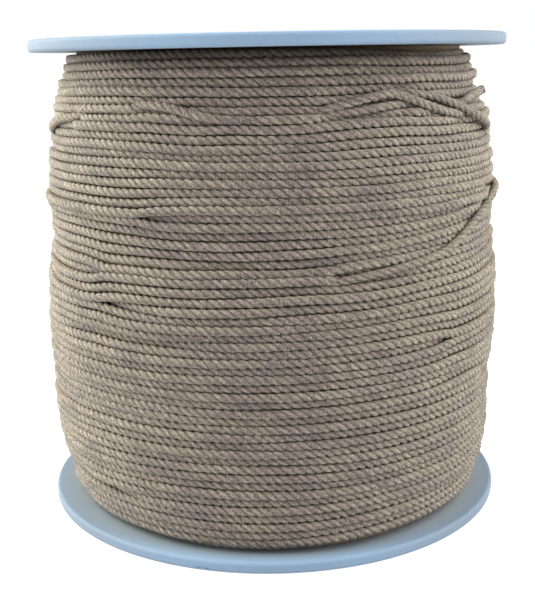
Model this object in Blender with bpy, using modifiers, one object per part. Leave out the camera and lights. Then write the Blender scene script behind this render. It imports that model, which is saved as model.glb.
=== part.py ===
"""Hemp rope wound on a flanged plastic reel, at real size, in metres, with +Z up.

The origin is the middle of the lower flange's outer face, on which the reel stands.
Azimuth 0 is along +X, and the side with the loose end faces -Y and +X."""

import math
from collections import namedtuple

import bmesh
import bpy
import numpy as np

# Driving dimensions
FLANGE_DIAMETER = 0.250
FLANGE_THICKNESS = 0.006
FLANGE_SPACING = 0.236
BARREL_DIAMETER = 0.100
BARREL_WALL = 0.004
SPINDLE_HOLE_DIAMETER = 0.050
ROPE_DIAMETER = 0.0043
CLEARANCE = 0.0003

# Finer shape of the flanges
RIM_ROUNDING = 0.0024
HOLE_CHAMFER = 0.0008
HUB_RING_WIDTH = 0.008
RIM_RING_WIDTH = 0.012
PANEL_DEPTH = 0.0012

# How finely the round shapes are cut up
FLANGE_SEGMENTS = 64
WINDING_SEGMENTS = 44
ROUNDING_STEPS = 3
ROPE_BEVEL_RESOLUTION = 2
ROPE_STEP = 0.0095
WELD_DISTANCE = 1e-6
TURNED_MERGE_DISTANCE = 1e-5

# Shape of the wound turns
GROOVE_DEPTH = 0.0012
TURN_LIFT = 0.0004
FADE_HEIGHT = 0.030
CREST_LIMIT = 0.1246
BURIED = -0.0034

# Heights of the winding's two ends
WINDING_BOTTOM = FLANGE_THICKNESS + CLEARANCE
WINDING_TOP = FLANGE_THICKNESS + FLANGE_SPACING - CLEARANCE
TURNS = round((WINDING_TOP - WINDING_BOTTOM) / ROPE_DIAMETER)

# Slow waves by which the turns stray up and down: amplitude, how many waves go round
# the reel, and how their phase turns with height, in radians per metre
Wave = namedtuple("Wave", "amplitude count twist phase")
STRAYING = (
    Wave(0.0013, 1, 55.0, 0.0),
    Wave(0.0008, 2, -38.0, 1.1),
)

# How unlike its neighbours each turn is: radians from one turn to the next
STEADY_LIFT_STEP = 2.4
WAVE_PHASE_STEP = 2.1
WAVE_HEIGHT_STEP = 5.3

# Outline of the winding: radius on its left (-X) and right (+X) side at each height
Station = namedtuple("Station", "height left right")
OUTLINE = (
    Station(0.0063, 0.1115, 0.1130),
    Station(0.0160, 0.1150, 0.1165),
    Station(0.0270, 0.1175, 0.1195),
    Station(0.0370, 0.1200, 0.1210),
    Station(0.0480, 0.1220, 0.1215),
    Station(0.0600, 0.1232, 0.1215),
    Station(0.0760, 0.1222, 0.1225),
    Station(0.0880, 0.1232, 0.1240),
    Station(0.1020, 0.1234, 0.1243),
    Station(0.1180, 0.1228, 0.1243),
    Station(0.1300, 0.1225, 0.1238),
    Station(0.1390, 0.1202, 0.1220),
    Station(0.1500, 0.1182, 0.1210),
    Station(0.1610, 0.1195, 0.1204),
    Station(0.1700, 0.1208, 0.1218),
    Station(0.1790, 0.1187, 0.1208),
    Station(0.1890, 0.1184, 0.1198),
    Station(0.1990, 0.1160, 0.1178),
    Station(0.2080, 0.1156, 0.1158),
    Station(0.2150, 0.1134, 0.1122),
    Station(0.2210, 0.1128, 0.1100),
    Station(0.2265, 0.1105, 0.1110),
    Station(0.2320, 0.1076, 0.1086),
    Station(0.2375, 0.1080, 0.1079),
    Station(0.2417, 0.1052, 0.1065),
)

# Runs of rope that cross over the turns: azimuth in degrees, height, and how far the
# middle of the rope lies above the turns' crests. Both ends dive under the crests
Waypoint = namedtuple("Waypoint", "azimuth height rise")
CROSSING_RUNS = {
    "shoulder_run": (
        Waypoint(-64.0, 0.2228, BURIED),
        Waypoint(-53.1, 0.2197, 0.0004),
        Waypoint(-46.0, 0.2172, 0.0012),
        Waypoint(-37.8, 0.2120, 0.0016),
        Waypoint(-29.3, 0.2063, 0.0014),
        Waypoint(-18.0, 0.1998, BURIED),
    ),
    "hump_run": (
        Waypoint(-86.0, 0.2098, BURIED),
        Waypoint(-76.4, 0.2118, 0.0002),
        Waypoint(-68.7, 0.2164, 0.0010),
        Waypoint(-61.0, 0.2195, 0.0012),
        Waypoint(-55.0, 0.2168, 0.0012),
        Waypoint(-48.0, 0.2122, 0.0006),
        Waypoint(-40.0, 0.2090, BURIED),
    ),
    "belly_run": (
        Waypoint(-82.0, 0.1388, BURIED),
        Waypoint(-73.0, 0.1402, 0.0004),
        Waypoint(-59.5, 0.1443, 0.0012),
        Waypoint(-49.0, 0.1494, 0.0014),
        Waypoint(-37.8, 0.1573, 0.0014),
        Waypoint(-26.7, 0.1675, 0.0014),
        Waypoint(-18.0, 0.1760, 0.0010),
        Waypoint(-8.0, 0.1830, BURIED),
    ),
    "left_run": (
        Waypoint(-172.0, 0.1990, BURIED),
        Waypoint(-163.0, 0.2020, 0.0008),
        Waypoint(-153.0, 0.2070, 0.0014),
        Waypoint(-144.0, 0.2118, 0.0006),
        Waypoint(-135.0, 0.2135, BURIED),
    ),
    "back_run": (
        Waypoint(62.0, 0.1180, BURIED),
        Waypoint(74.0, 0.1130, 0.0006),
        Waypoint(88.0, 0.1050, 0.0014),
        Waypoint(102.0, 0.0965, 0.0014),
        Waypoint(116.0, 0.0900, 0.0006),
        Waypoint(128.0, 0.0880, BURIED),
    ),
}

# The loose end: it leaves the winding beside the shoulder run and lies along it
LOOSE_END = (
    Waypoint(-34.6, 0.2156, 0.0018),
    Waypoint(-30.8, 0.2170, 0.0019),
    Waypoint(-27.0, 0.2180, 0.0022),
    Waypoint(-23.2, 0.2188, 0.0027),
    Waypoint(-19.4, 0.2196, 0.0035),
)

# Colours, as the finish of each piece
HEMP = (0.40, 0.35, 0.28, 1.0)
PALE_PLASTIC = (0.62, 0.74, 0.84, 1.0)


def clear_scene():
    """Removes every object of the open scene."""
    for obj in list(bpy.data.objects):
        bpy.data.objects.remove(obj, do_unlink=True)


def new_collection(name):
    """A collection of that name, linked to the scene."""
    collection = bpy.data.collections.new(name)
    bpy.context.scene.collection.children.link(collection)
    return collection


def new_material(name, colour, roughness):
    """A Principled material of one colour."""
    material = bpy.data.materials.new(name)
    material.use_nodes = True
    shader = material.node_tree.nodes["Principled BSDF"]
    shader.inputs["Base Color"].default_value = colour
    shader.inputs["Roughness"].default_value = roughness
    shader.inputs["Metallic"].default_value = 0.0
    return material


def new_object(name, data, collection, material):
    """An object for that mesh or curve, with its material, in that collection."""
    data.materials.append(material)
    obj = bpy.data.objects.new(name, data)
    collection.objects.link(obj)
    return obj


def as_mesh(obj):
    """A new mesh of the object as its modifiers leave it, with its doubles merged."""
    bpy.context.view_layer.update()
    graph = bpy.context.evaluated_depsgraph_get()
    mesh = bpy.data.meshes.new_from_object(obj.evaluated_get(graph))
    welded = bmesh.new()
    welded.from_mesh(mesh)
    bmesh.ops.remove_doubles(welded, verts=welded.verts, dist=WELD_DISTANCE)
    welded.to_mesh(mesh)
    welded.free()
    return mesh


def rounded_corner(radius, height, rounding, first_angle, last_angle):
    """Profile points along an arc about (radius, height), angles in degrees."""
    angles = np.radians(np.linspace(first_angle, last_angle, ROUNDING_STEPS + 1))
    return [(radius + rounding * math.cos(a), height + rounding * math.sin(a)) for a in angles]


def turned(name, profile, segments, collection, material):
    """A turned solid: the closed profile of (radius, height) points, swept round Z.

    The points run up the inner side and down the outer side."""
    mesh = bpy.data.meshes.new(name)
    count = len(profile)
    points = [(radius, 0.0, height) for radius, height in profile]
    edges = [(i, (i + 1) % count) for i in range(count)]
    mesh.from_pydata(points, edges, [])
    obj = new_object(name, mesh, collection, material)
    screw = obj.modifiers.new("turn", "SCREW")
    screw.axis = "Z"
    screw.angle = 2 * math.pi
    screw.screw_offset = 0.0
    screw.steps = segments
    screw.render_steps = segments
    screw.use_merge_vertices = True
    screw.merge_threshold = TURNED_MERGE_DISTANCE
    screw.use_normal_calculate = True
    screw.use_smooth_shade = False
    return obj


def outer_face_profile(outer_z, inward):
    """Profile of a flange's outer face, from its spindle hole out to its rim.

    outer_z is the face's height, and inward is +1 or -1, towards the winding."""
    hole = SPINDLE_HOLE_DIAMETER / 2
    rim = FLANGE_DIAMETER / 2
    panel_z = outer_z + inward * PANEL_DEPTH
    return [
        (hole, outer_z + inward * HOLE_CHAMFER),
        (hole + HOLE_CHAMFER, outer_z),
        (hole + HUB_RING_WIDTH, outer_z),
        (hole + HUB_RING_WIDTH + PANEL_DEPTH, panel_z),
        (rim - RIM_RING_WIDTH - PANEL_DEPTH, panel_z),
        (rim - RIM_RING_WIDTH, outer_z),
    ]


def make_lower_flange(collection, material):
    """The lower flange, moulded in one with the barrel that the rope is wound on."""
    hole = SPINDLE_HOLE_DIAMETER / 2
    barrel = BARREL_DIAMETER / 2
    rim_centre = FLANGE_DIAMETER / 2 - RIM_ROUNDING
    inner_face = FLANGE_THICKNESS
    barrel_top = FLANGE_THICKNESS + FLANGE_SPACING - CLEARANCE
    profile = [
        (hole, inner_face - HOLE_CHAMFER),
        (hole + HOLE_CHAMFER, inner_face),
        (barrel - BARREL_WALL, inner_face),
        (barrel - BARREL_WALL, barrel_top),
        (barrel, barrel_top),
        (barrel, inner_face),
    ]
    profile += rounded_corner(rim_centre, inner_face - RIM_ROUNDING, RIM_ROUNDING, 90, 0)
    profile += rounded_corner(rim_centre, RIM_ROUNDING, RIM_ROUNDING, 0, -90)
    profile += reversed(outer_face_profile(0.0, 1))
    return turned("lower_flange", profile, FLANGE_SEGMENTS, collection, material)


def make_upper_flange(collection, material):
    """The upper flange, which closes the barrel's top."""
    hole = SPINDLE_HOLE_DIAMETER / 2
    rim_centre = FLANGE_DIAMETER / 2 - RIM_ROUNDING
    inner_face = FLANGE_THICKNESS + FLANGE_SPACING
    outer_face = inner_face + FLANGE_THICKNESS
    profile = outer_face_profile(outer_face, -1)
    profile += rounded_corner(rim_centre, outer_face - RIM_ROUNDING, RIM_ROUNDING, 90, 0)
    profile += rounded_corner(rim_centre, inner_face + RIM_ROUNDING, RIM_ROUNDING, 0, -90)
    profile += [(hole + HOLE_CHAMFER, inner_face), (hole, inner_face + HOLE_CHAMFER)]
    return turned("upper_flange", profile, FLANGE_SEGMENTS, collection, material)


def outline_radius(azimuth, height):
    """Radius of the turns' crests: the two sides' outlines, blended round the reel."""
    heights = [s.height for s in OUTLINE]
    left = np.interp(height, heights, [s.left for s in OUTLINE])
    right = np.interp(height, heights, [s.right for s in OUTLINE])
    share = (1 + np.cos(azimuth)) / 2
    return left * (1 - share) + right * share


def end_fade(height):
    """0 at the flanges and 1 away from them, so that the end turns lie level."""
    reach = np.minimum(height - WINDING_BOTTOM, WINDING_TOP - height) / FADE_HEIGHT
    return np.clip(reach, 0, 1)


def straying(azimuth, height):
    """How far a turn strays up or down from a level ring."""
    waves = [w.amplitude * np.sin(w.count * azimuth + w.twist * height + w.phase) for w in STRAYING]
    return end_fade(height) * sum(waves)


def turn_lift(azimuth, turn):
    """How far a turn stands proud of its neighbours, each turn with its own slow wave."""
    steady = np.sin(STEADY_LIFT_STEP * turn)
    wave = np.sin(azimuth + WAVE_PHASE_STEP * turn) * np.sin(WAVE_HEIGHT_STEP * turn)
    return TURN_LIFT * (steady + wave)


def surface_point(azimuth_degrees, height, rise):
    """The point at that place on the winding, so far above the crests' outline."""
    azimuth = math.radians(azimuth_degrees)
    radius = outline_radius(azimuth, height) + rise
    radius = float(min(radius, CREST_LIMIT - ROPE_DIAMETER / 2))
    return (radius * math.cos(azimuth), radius * math.sin(azimuth), height)


def smooth_values(values, places):
    """A cubic curve through the values, one to each whole number, read at places."""
    values = np.array(values, float)
    slopes = np.gradient(values)
    first = np.clip(np.floor(places).astype(int), 0, len(values) - 2)
    t = places - first
    start = (2 * t**3 - 3 * t**2 + 1) * values[first] + (t**3 - 2 * t**2 + t) * slopes[first]
    end = (3 * t**2 - 2 * t**3) * values[first + 1] + (t**3 - t**2) * slopes[first + 1]
    return start + end


def make_rope_tube(name, waypoints, collection, material):
    """A plain round rope along the winding's surface, on a smooth curve through its
    waypoints that is read about every ROPE_STEP."""
    turned_by = math.radians(waypoints[-1].azimuth - waypoints[0].azimuth)
    steps = round(abs(turned_by) * FLANGE_DIAMETER / 2 / ROPE_STEP)
    count = max(len(waypoints), steps + 1)
    places = np.linspace(0, len(waypoints) - 1, count)
    columns = [smooth_values(column, places) for column in zip(*waypoints)]
    curve = bpy.data.curves.new(name, "CURVE")
    curve.dimensions = "3D"
    curve.bevel_depth = ROPE_DIAMETER / 2
    curve.bevel_resolution = ROPE_BEVEL_RESOLUTION
    curve.use_fill_caps = True
    spline = curve.splines.new("POLY")
    spline.points.add(count - 1)
    for point, azimuth, height, rise in zip(spline.points, *columns):
        point.co = (*surface_point(azimuth, height, rise), 1.0)
    return new_object(name, curve, collection, material)


def make_winding(collection, cutters, material):
    """The wound rope as one ring-shaped solid: a crest for each turn, grooves between
    them, the uneven outline, and the runs that cross over the turns."""
    pitch = (WINDING_TOP - WINDING_BOTTOM) / TURNS
    bore = BARREL_DIAMETER / 2 + CLEARANCE
    plain_radius = FLANGE_DIAMETER / 2
    profile = [(bore, WINDING_BOTTOM), (bore, WINDING_TOP)]
    profile += [(plain_radius, WINDING_TOP - step * pitch / 2) for step in range(2 * TURNS + 1)]
    plain = turned("plain_winding", profile, WINDING_SEGMENTS, cutters, material)
    mesh = as_mesh(plain)
    bpy.data.objects.remove(plain)
    for vertex in mesh.vertices:
        x, y, z = vertex.co
        radius = math.hypot(x, y)
        if radius < (bore + plain_radius) / 2:
            continue
        azimuth = math.atan2(y, x)
        half_steps = round((z - WINDING_BOTTOM) / (pitch / 2))
        lift = min(turn_lift(azimuth, (half_steps - 1) // 2), turn_lift(azimuth, half_steps // 2))
        if half_steps % 2 == 0:
            lift -= GROOVE_DEPTH
        radius = min(outline_radius(azimuth, z) + lift * end_fade(z), CREST_LIMIT)
        height = z + straying(azimuth, z)
        vertex.co = (radius * math.cos(azimuth), radius * math.sin(azimuth), height)
    winding = new_object("winding", mesh, collection, material)
    for name, waypoints in CROSSING_RUNS.items():
        add_crossing_run(winding, name, waypoints, cutters, material)
    return winding


def add_crossing_run(winding, name, waypoints, cutters, material):
    """Joins a run of rope to the winding, where it crosses over the turns."""
    tube = make_rope_tube(name + "_curve", waypoints, cutters, material)
    mesh = as_mesh(tube)
    run = bpy.data.objects.new(name, mesh)
    run.matrix_world = tube.matrix_world
    cutters.objects.link(run)
    bpy.data.objects.remove(tube)
    run.hide_render = True
    run.display_type = "WIRE"
    union = winding.modifiers.new(name, "BOOLEAN")
    union.operation = "UNION"
    union.object = run


def main():
    clear_scene()
    reel = new_collection("hemp_rope_on_reel")
    cutters = new_collection("crossing_runs")
    hemp = new_material("hemp", HEMP, 0.9)
    plastic = new_material("pale_plastic", PALE_PLASTIC, 0.35)
    make_lower_flange(reel, plastic)
    make_upper_flange(reel, plastic)
    make_winding(reel, cutters, hemp)
    make_rope_tube("loose_end", LOOSE_END, reel, hemp)


main()
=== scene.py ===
"""The looks of a thin hemp rope wound on a flanged plastic reel, in metres, with +Z up.

The reel stands on its lower flange at the origin. Azimuth 0 is along +X, and the camera
stands on the -Y side. The rope is one continuous three-strand cord: every turn on the
outside of the bundle is a swept mesh whose strands twist along it."""
import logging
import math
from dataclasses import dataclass, field
from enum import Enum
from typing import Any, NamedTuple, Sequence

import bpy
import numpy as np
from mathutils import Matrix, Vector


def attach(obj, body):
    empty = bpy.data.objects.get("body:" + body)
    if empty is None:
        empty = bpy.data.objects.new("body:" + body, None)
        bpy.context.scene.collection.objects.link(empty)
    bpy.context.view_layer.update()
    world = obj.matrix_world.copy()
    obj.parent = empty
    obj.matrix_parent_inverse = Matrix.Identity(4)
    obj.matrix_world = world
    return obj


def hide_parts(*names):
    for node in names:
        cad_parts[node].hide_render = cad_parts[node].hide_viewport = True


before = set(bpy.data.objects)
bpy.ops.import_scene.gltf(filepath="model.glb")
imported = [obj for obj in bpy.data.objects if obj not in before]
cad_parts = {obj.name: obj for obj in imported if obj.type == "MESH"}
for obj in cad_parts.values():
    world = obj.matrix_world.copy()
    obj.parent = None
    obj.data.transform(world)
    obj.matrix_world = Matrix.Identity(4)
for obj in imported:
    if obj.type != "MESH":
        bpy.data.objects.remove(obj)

LOG = logging.getLogger("hemp_rope")
BODY = "root"
TAU = 2.0 * math.pi

# Sizes that the pieces share with the solids
FLANGE_DIAMETER = 0.250
FLANGE_THICKNESS = 0.006
FLANGE_SPACING = 0.236
BARREL_DIAMETER = 0.100
BARREL_WALL = 0.004
SPINDLE_HOLE_DIAMETER = 0.050
ROPE_DIAMETER = 0.0043
CLEARANCE = 0.0003
CREST_LIMIT = 0.1246
WINDING_BOTTOM = FLANGE_THICKNESS + CLEARANCE
WINDING_TOP = FLANGE_THICKNESS + FLANGE_SPACING - CLEARANCE

# Rise of a crossing run's ends, which lie out of sight under the turns
BURIED = -0.0066

# How many standard deviations a bell curve reaches to each side
BELL_REACH = 4

# Added to a distance that something is divided by, so that it is never 0
NEAR_ZERO = 1e-9

# A loose fibre's rings: their shares of its length, their widths, and how many sides
FIBRE_SHARES = (0.0, 0.34, 0.68, 1.0)
FIBRE_WIDTHS = (1.0, 0.9, 0.7, 0.35)
FIBRE_SIDES = 3

# How upright a fibre is before its rings are laid out from another axis
UPRIGHT = 0.8


class Station(NamedTuple):
    """Radius of the bundle's outline on its left (-X) and right (+X) side at a height."""

    height: float
    left: float
    right: float


class Waypoint(NamedTuple):
    """A place for a rope's middle: azimuth in degrees, height, and rise above the crests."""

    azimuth: float
    height: float
    rise: float


class Wave(NamedTuple):
    """A slow wave round the reel: amplitude in rope diameters, how many go round, how
    its phase turns with height in radians per metre, and its phase."""

    amplitude: float
    count: int
    twist: float
    phase: float

    def at(self, azimuth: np.ndarray, height: np.ndarray) -> np.ndarray:
        """amplitude sin(count azimuth + twist height + phase)."""
        return self.amplitude * np.sin(self.count * azimuth + self.twist * height + self.phase)


class Waver(NamedTuple):
    """Smooth noise along the rope: its size, how smooth it is in samples, and how much of
    a turn's value its neighbour takes, where below 0 they alternate."""

    size: float
    width: float
    echo: float


class Drift(NamedTuple):
    """A place where the turns climb by a rise, or dip where it is below 0. It starts, is
    full, fades and ends at four azimuths in degrees, and at four heights."""

    rise: float
    azimuths: tuple[float, float, float, float]
    heights: tuple[float, float, float, float]

    def at(self, azimuth: np.ndarray, height: np.ndarray) -> np.ndarray:
        """The rise times a smooth step up and down round the reel, and one over height.

        Args:
            azimuth: The rope's azimuths in radians.
            height: Its heights.

        Returns:
            What to add to the heights.
        """
        degrees = (np.degrees(azimuth) + 180.0) % 360.0 - 180.0
        share = self.rise * np.ones_like(height)
        for values, (start, full, fade, end) in ((degrees, self.azimuths), (height, self.heights)):
            share = share * eased(values, start, full) * (1.0 - eased(values, fade, end))
        return share


class Side(Enum):
    """Which of the two flanges, as the direction in which its outer face points."""

    LOWER = -1
    UPPER = 1


OUTLINE = (
    Station(0.0063, 0.1115, 0.1130),
    Station(0.0160, 0.1150, 0.1165),
    Station(0.0270, 0.1175, 0.1195),
    Station(0.0370, 0.1200, 0.1210),
    Station(0.0480, 0.1220, 0.1215),
    Station(0.0600, 0.1232, 0.1215),
    Station(0.0760, 0.1222, 0.1225),
    Station(0.0880, 0.1232, 0.1240),
    Station(0.1020, 0.1234, 0.1243),
    Station(0.1180, 0.1228, 0.1243),
    Station(0.1300, 0.1225, 0.1238),
    Station(0.1390, 0.1202, 0.1220),
    Station(0.1500, 0.1182, 0.1210),
    Station(0.1610, 0.1195, 0.1204),
    Station(0.1700, 0.1208, 0.1218),
    Station(0.1790, 0.1187, 0.1208),
    Station(0.1890, 0.1184, 0.1198),
    Station(0.1990, 0.1160, 0.1184),
    Station(0.2080, 0.1156, 0.1181),
    Station(0.2150, 0.1134, 0.1133),
    Station(0.2210, 0.1128, 0.1100),
    Station(0.2265, 0.1105, 0.1110),
    Station(0.2320, 0.1076, 0.1086),
    Station(0.2375, 0.1080, 0.1079),
    Station(0.2417, 0.1052, 0.1065),
)


# How far the lowest turns swell at the front, the heights between which that fades, and
# how narrow the swell is
FRONT_SWELL = 0.0038
FRONT_SWELL_HEIGHTS = (0.010, 0.046)
FRONT_SWELL_POWER = 4


def outline_radius(azimuth: np.ndarray, height: np.ndarray) -> np.ndarray:
    """Radius of the turns' crests: the left and right outlines, read at the height and
    blended by (1 + cos azimuth) / 2, and a swell of the lowest turns at the front.

    Args:
        azimuth: Azimuths in radians.
        height: Heights in metres.

    Returns:
        The radius at each place.
    """
    heights = [station.height for station in OUTLINE]
    left = np.interp(height, heights, [station.left for station in OUTLINE])
    right = np.interp(height, heights, [station.right for station in OUTLINE])
    share = (1.0 + np.cos(azimuth)) / 2.0
    swell = FRONT_SWELL * np.maximum(-np.sin(azimuth), 0.0) ** FRONT_SWELL_POWER
    swell = swell * (1.0 - eased(height, *FRONT_SWELL_HEIGHTS))
    return left * (1.0 - share) + right * share + swell


def around_axis(azimuth: np.ndarray, radius: np.ndarray, height: np.ndarray) -> np.ndarray:
    """Points at (radius cos azimuth, radius sin azimuth, height).

    Args:
        azimuth: Azimuths in radians.
        radius: Distances from the reel's axis.
        height: Heights.

    Returns:
        An array of points, with the three coordinates on its last axis.
    """
    azimuth, radius, height = np.broadcast_arrays(azimuth, radius, height)
    return np.stack([radius * np.cos(azimuth), radius * np.sin(azimuth), height], axis=-1)


def path_and_outward(
    azimuth: np.ndarray, radius: np.ndarray, height: np.ndarray
) -> tuple[np.ndarray, np.ndarray]:
    """The points of a line about the reel, and the direction away from the axis at each.

    Args:
        azimuth: The line's azimuths in radians.
        radius: Its distances from the reel's axis.
        height: Its heights.

    Returns:
        The points and the directions.
    """
    outward = around_axis(azimuth, np.ones_like(radius), np.zeros_like(radius))
    return around_axis(azimuth, radius, height), outward


def unit(vectors: np.ndarray) -> np.ndarray:
    """The vectors, each divided by its own length."""
    return vectors / np.linalg.norm(vectors, axis=-1, keepdims=True)


def eased(values: np.ndarray, low: float, high: float) -> np.ndarray:
    """0 below low and 1 above high, with the cubic 3t^2 - 2t^3 between them."""
    t = np.clip((values - low) / (high - low), 0.0, 1.0)
    return t * t * (3.0 - 2.0 * t)


def gaussian_smoothed(values: np.ndarray, width: float) -> np.ndarray:
    """The values averaged with their neighbours under a bell curve.

    Args:
        values: A row of numbers.
        width: The bell's standard deviation, in samples.

    Returns:
        A row of the same length, its ends carried on unchanged.
    """
    reach = int(BELL_REACH * width) + 1
    offsets = np.arange(-reach, reach + 1)
    bell = np.exp(-0.5 * (offsets / width) ** 2)
    return np.convolve(np.pad(values, reach, mode="edge"), bell / bell.sum(), "valid")


def cubic_through(values: Sequence[float], places: np.ndarray) -> np.ndarray:
    """A cubic curve through the values, one to each whole number, read at places.

    Args:
        values: The values to pass through.
        places: Where to read the curve, from 0 to the last value's number.

    Returns:
        The curve's value at each place.
    """
    knots = np.array(values, float)
    slopes = np.gradient(knots)
    first = np.clip(np.floor(places).astype(int), 0, len(knots) - 2)
    t = places - first
    start = (2 * t**3 - 3 * t**2 + 1) * knots[first] + (t**3 - 2 * t**2 + t) * slopes[first]
    end = (3 * t**2 - 2 * t**3) * knots[first + 1] + (t**3 - t**2) * slopes[first + 1]
    return start + end


def grid_faces(rows: int, columns: int, closed_rows: bool, closed_columns: bool) -> np.ndarray:
    """Four-cornered faces between neighbours on a grid of points.

    Vertex (row, column) has number row * columns + column. A face's corners run
    (r, c), (r, c + 1), (r + 1, c + 1), (r + 1, c).

    Args:
        rows: How many rows of points.
        columns: How many points in a row.
        closed_rows: Whether the last row joins the first.
        closed_columns: Whether the last column joins the first.

    Returns:
        An array of faces, four vertex numbers each.
    """
    row = np.arange(rows if closed_rows else rows - 1)[:, None]
    column = np.arange(columns if closed_columns else columns - 1)[None, :]
    next_row = (row + 1) % rows
    next_column = (column + 1) % columns
    corners = [
        row * columns + column,
        row * columns + next_column,
        next_row * columns + next_column,
        next_row * columns + column,
    ]
    return np.stack(np.broadcast_arrays(*corners), axis=-1).reshape(-1, 4)


# Shader maths


class Shade:
    """A shader socket that takes part in Python expressions."""

    def __init__(self, tree: "ShaderTree", socket: bpy.types.NodeSocket) -> None:
        """Keeps the socket and the tree that it belongs to."""
        self.tree = tree
        self.socket = socket

    def _math(self, operation: str, *values: Any) -> "Shade":
        """A Math node with these values, this socket among them."""
        return self.tree.node("ShaderNodeMath", {"operation": operation}, dict(enumerate(values)))

    def __add__(self, other: Any) -> "Shade":
        """This plus other."""
        return self._math("ADD", self, other)

    __radd__ = __add__

    def __sub__(self, other: Any) -> "Shade":
        """This minus other."""
        return self._math("SUBTRACT", self, other)

    def __rsub__(self, other: Any) -> "Shade":
        """Other minus this."""
        return self._math("SUBTRACT", other, self)

    def __mul__(self, other: Any) -> "Shade":
        """This times other."""
        return self._math("MULTIPLY", self, other)

    def __pow__(self, power: float) -> "Shade":
        """This to a power."""
        return self._math("POWER", self, power)

    def magnitude(self) -> "Shade":
        """This without its sign."""
        return self._math("ABSOLUTE", self)

    def between(self, low: float, high: float) -> "Shade":
        """0 where this is at low and 1 where it is at high, smooth between them."""
        settings = {"interpolation_type": "SMOOTHSTEP"}
        return self.tree.node("ShaderNodeMapRange", settings, {0: self, 1: low, 2: high})


class Pattern(NamedTuple):
    """Noise over a surface: its cells per metre along each axis, its finer octaves, the
    values between which it rises from 0 to 1, and how strong it is there."""

    scale: tuple[float, float, float]
    octaves: float
    low: float = 0.0
    high: float = 1.0
    strength: float = 1.0

    def factor(self, noise: Shade) -> Shade:
        """The noise as a factor from 0 to the pattern's strength."""
        return noise.between(self.low, self.high) * self.strength


class ShaderTree:
    """The nodes of one material."""

    def __init__(self, name: str) -> None:
        """Makes the material, with its Principled shader.

        Args:
            name: The material's name.
        """
        self.material = bpy.data.materials.new(name)
        self.material.use_nodes = True
        self.shader = self.material.node_tree.nodes["Principled BSDF"]

    def feed(self, socket: bpy.types.NodeSocket, value: Any) -> None:
        """Sets a socket to a value, or links it to a Shade.

        Args:
            socket: The socket.
            value: The value or the Shade.
        """
        if isinstance(value, Shade):
            self.material.node_tree.links.new(value.socket, socket)
        else:
            socket.default_value = value

    def node(
        self,
        kind: str,
        settings: dict[str, Any] | None = None,
        inputs: dict[Any, Any] | None = None,
        output: int | str = 0,
    ) -> Shade:
        """Adds a node.

        Args:
            kind: The node's type.
            settings: Its properties, which are set first.
            inputs: The value or link of each socket, by number or name.
            output: Which output to return, by number or name.

        Returns:
            The node's output.
        """
        node = self.material.node_tree.nodes.new(kind)
        for key, value in (settings or {}).items():
            setattr(node, key, value)
        for key, value in (inputs or {}).items():
            self.feed(node.inputs[key], value)
        return Shade(self, node.outputs[output])

    def place(self) -> Shade:
        """The place on the piece, in its object's coordinates."""
        return self.node("ShaderNodeTexCoord", {}, {}, "Object")

    def attribute(self, name: str, output: str) -> Shade:
        """One of the mesh's attributes."""
        return self.node("ShaderNodeAttribute", {"attribute_name": name}, {}, output)

    def part(self, vector: Shade, axis: str) -> Shade:
        """A vector's part along one axis."""
        return self.node("ShaderNodeSeparateXYZ", {}, {0: vector}, axis)

    def vector(self, operation: str, first: Any, second: Any) -> Shade:
        """The vector that an operation makes of two."""
        return self.node("ShaderNodeVectorMath", {"operation": operation}, {0: first, 1: second})

    def length(self, vector: Shade) -> Shade:
        """A vector's length."""
        return self.node("ShaderNodeVectorMath", {"operation": "LENGTH"}, {0: vector}, "Value")

    def bump(self, height: Shade, reach: float, strength: float) -> Shade:
        """The normal that a height gives, where a height of 1 stands out by reach."""
        inputs = {"Strength": strength, "Distance": reach, "Height": height}
        return self.node("ShaderNodeBump", {}, inputs)

    def mixed(self, factor: Any, first: Any, second: Any, blend: str = "MIX") -> Shade:
        """A colour between two colours.

        Args:
            factor: 0 for the first colour, 1 for the second blended over it.
            first: The colour at 0.
            second: The colour at 1.
            blend: How the second goes over the first.

        Returns:
            The mixed colour.
        """
        settings = {"data_type": "RGBA", "blend_type": blend}
        return self.node("ShaderNodeMix", settings, {0: factor, 6: first, 7: second}, 2)

    def noise(self, vector: Shade, pattern: Pattern) -> Shade:
        """A pattern's noise, as a value round 0.5.

        Args:
            vector: Where on the piece.
            pattern: The noise's scale and octaves.

        Returns:
            The noise.
        """
        stretched = self.vector("MULTIPLY", vector, pattern.scale)
        inputs = {"Vector": stretched, "Scale": 1.0, "Detail": pattern.octaves}
        return self.node("ShaderNodeTexNoise", {}, inputs)

    def factor(self, vector: Shade, pattern: Pattern) -> Shade:
        """A pattern's noise, as a factor from 0 to its strength."""
        return pattern.factor(self.noise(vector, pattern))

    def finish(self, **sockets: Any) -> bpy.types.Material:
        """Feeds the Principled shader's sockets, named with _ for a space.

        Args:
            **sockets: The value or link of each.

        Returns:
            The material.
        """
        for name, value in sockets.items():
            self.feed(self.shader.inputs[name.replace("_", " ")], value)
        return self.material


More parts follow.
